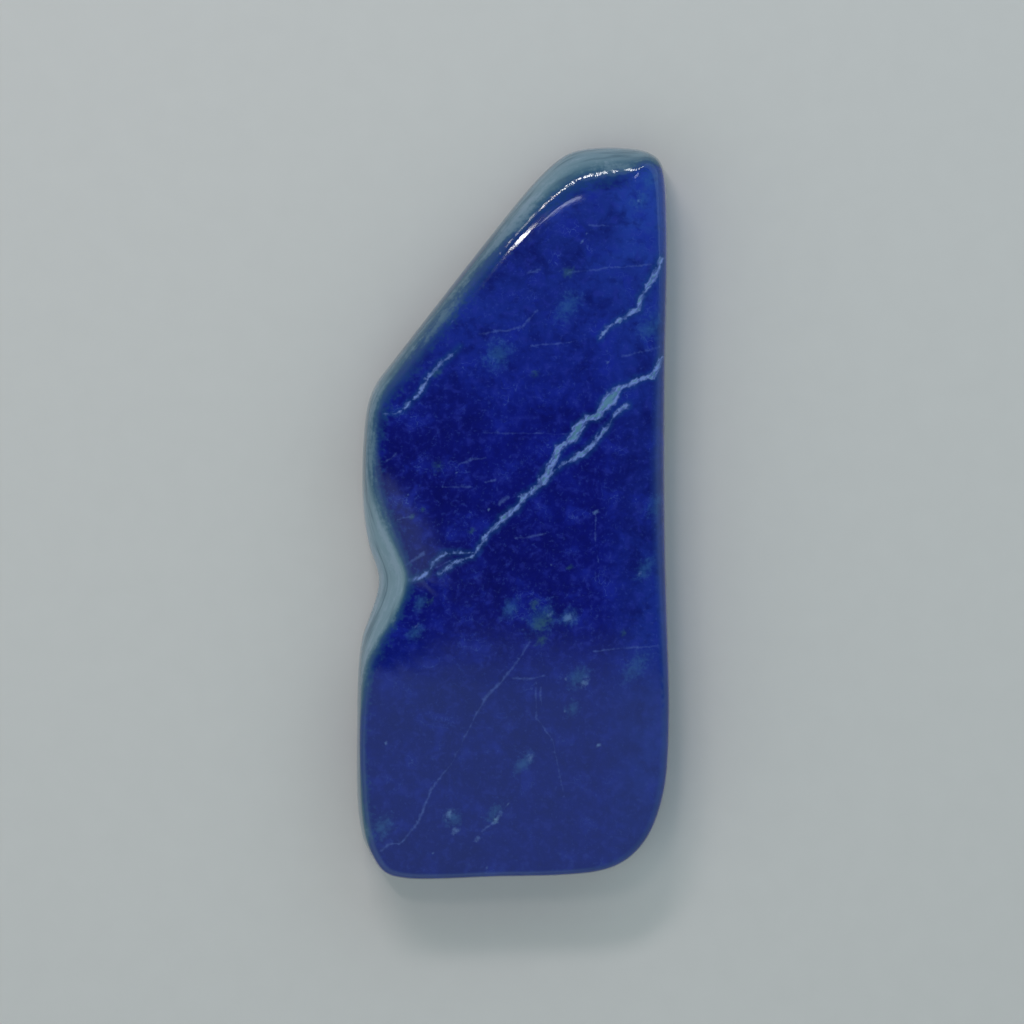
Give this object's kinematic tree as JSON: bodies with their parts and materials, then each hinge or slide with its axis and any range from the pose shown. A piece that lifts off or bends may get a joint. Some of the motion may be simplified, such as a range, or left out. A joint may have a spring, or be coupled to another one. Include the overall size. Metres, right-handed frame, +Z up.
{
  "type": "polished lapis lazuli slab",
  "caption": "Long polished freeform slab of deep blue stone with a pointed end, rounded corners and a shallow side notch, made to lie flat for display or to be held in the hand.",
  "frame": {"origin": "on the flat back that the stone rests on, under the middle of its bounding box", "axes": "+Y along the stone to its pointed end, +X across it, away from the notched side, +Z up through the polished top face"},
  "size_m": [0.0512, 0.12, 0.013],
  "materials": {
    "polished_lapis": "polished"
  },
  "bodies": {
    "root": {"lapis_stone": "polished_lapis"}
  },
  "joints": []
}
